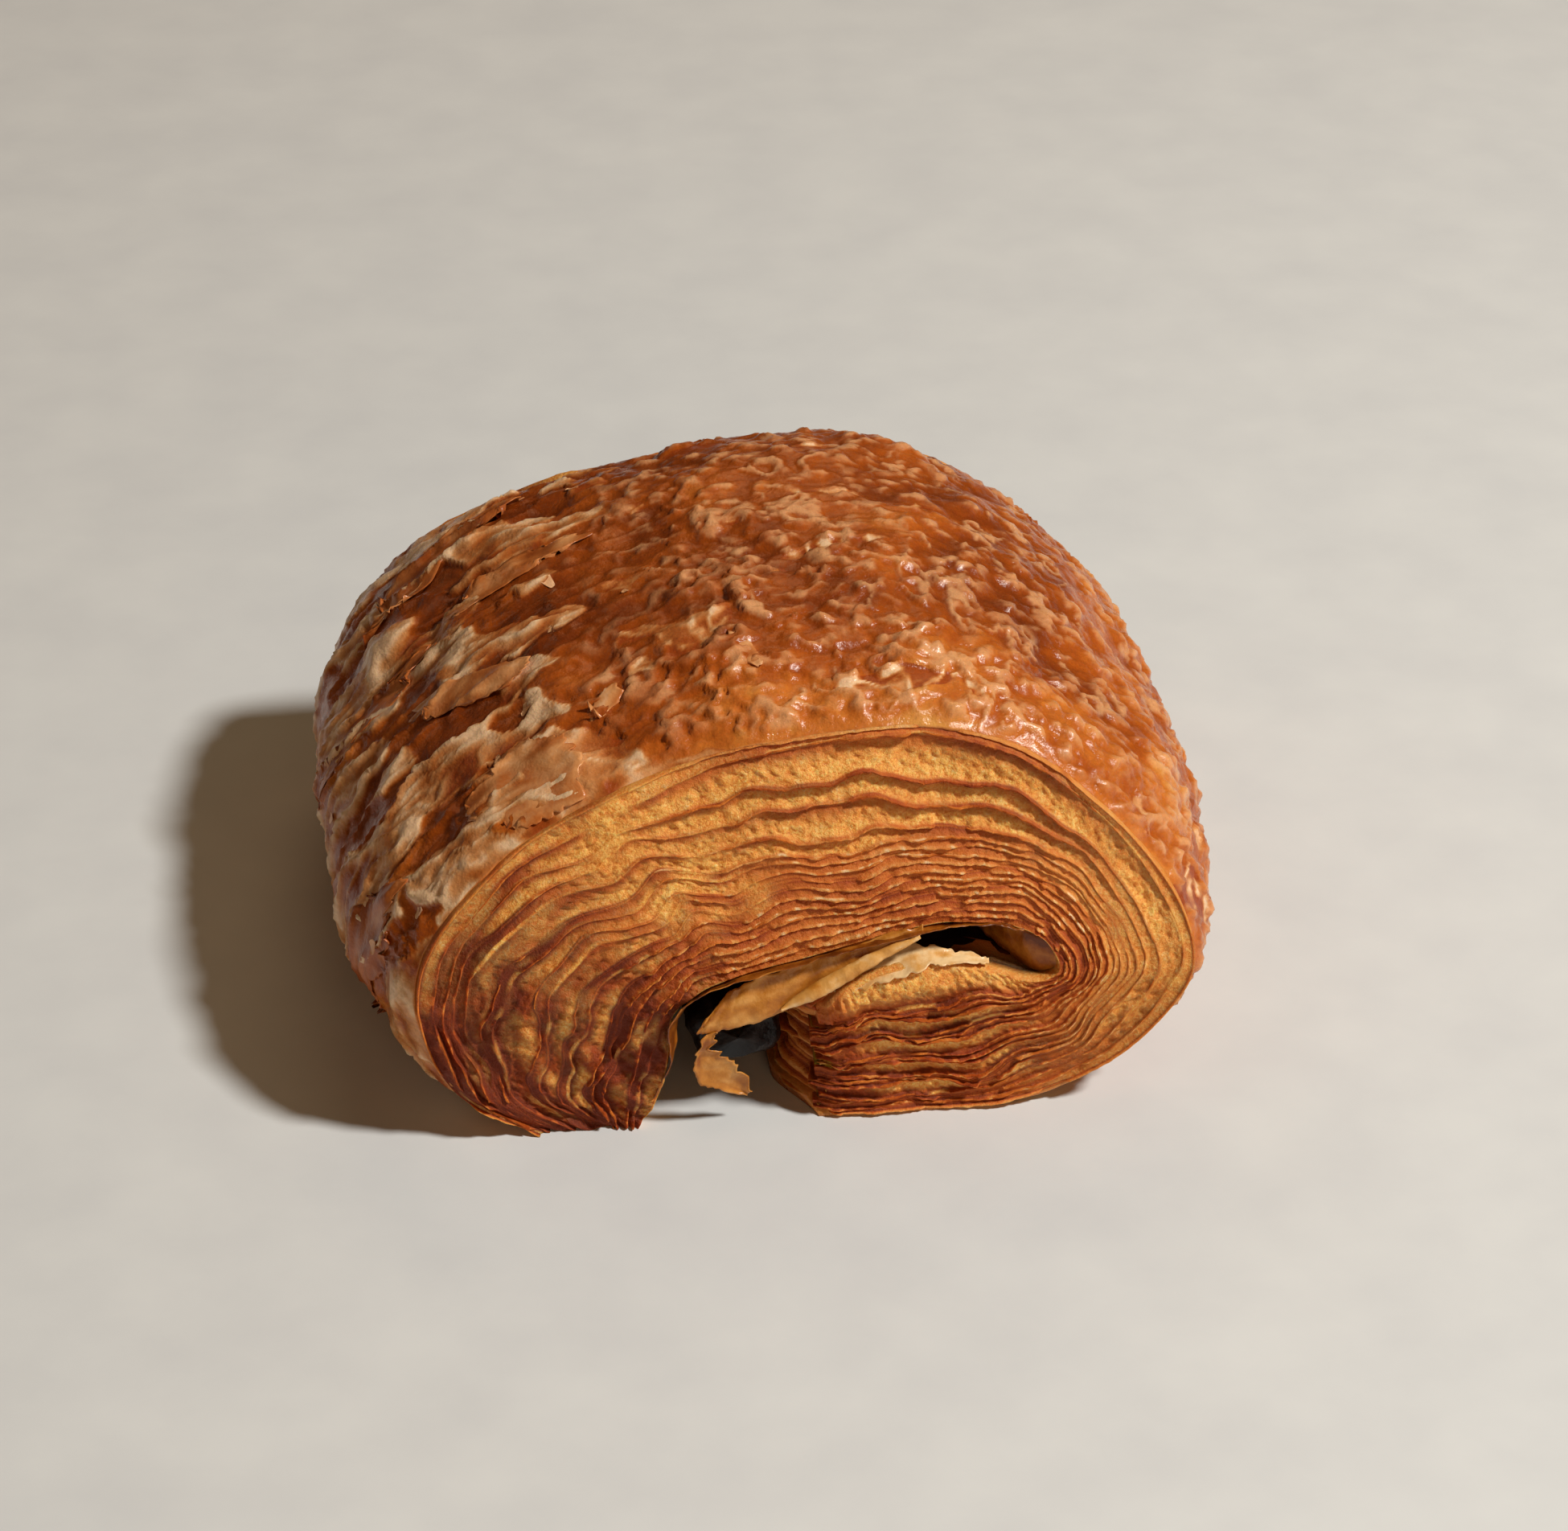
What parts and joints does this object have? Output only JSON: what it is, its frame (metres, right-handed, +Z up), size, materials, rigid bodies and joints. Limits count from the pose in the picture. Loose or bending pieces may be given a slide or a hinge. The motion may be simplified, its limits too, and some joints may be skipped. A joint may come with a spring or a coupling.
{
  "type": "pain au chocolat",
  "caption": "Rolled laminated pastry with a glazed flaky crust, open layered ends, a seam along its underside and dark chocolate batons inside.",
  "frame": {"origin": "centre of the bounding box's underside, on the surface that the pastry lies on", "axes": "+Z up; +Y along the roll, from the cut end that shows both batons best to the other one; +X across the roll, towards the side where the dough is rolled all the way under"},
  "size_m": [0.1052, 0.086, 0.0539],
  "materials": {
    "baked_dough": "egg-washed, glossy on the blisters and flaky at the cut ends",
    "dark_chocolate": "melted and set, satin"
  },
  "bodies": {
    "root": {"pastry": "baked_dough", "chocolate_baton_left": "dark_chocolate", "chocolate_baton_right": "dark_chocolate"}
  },
  "joints": []
}
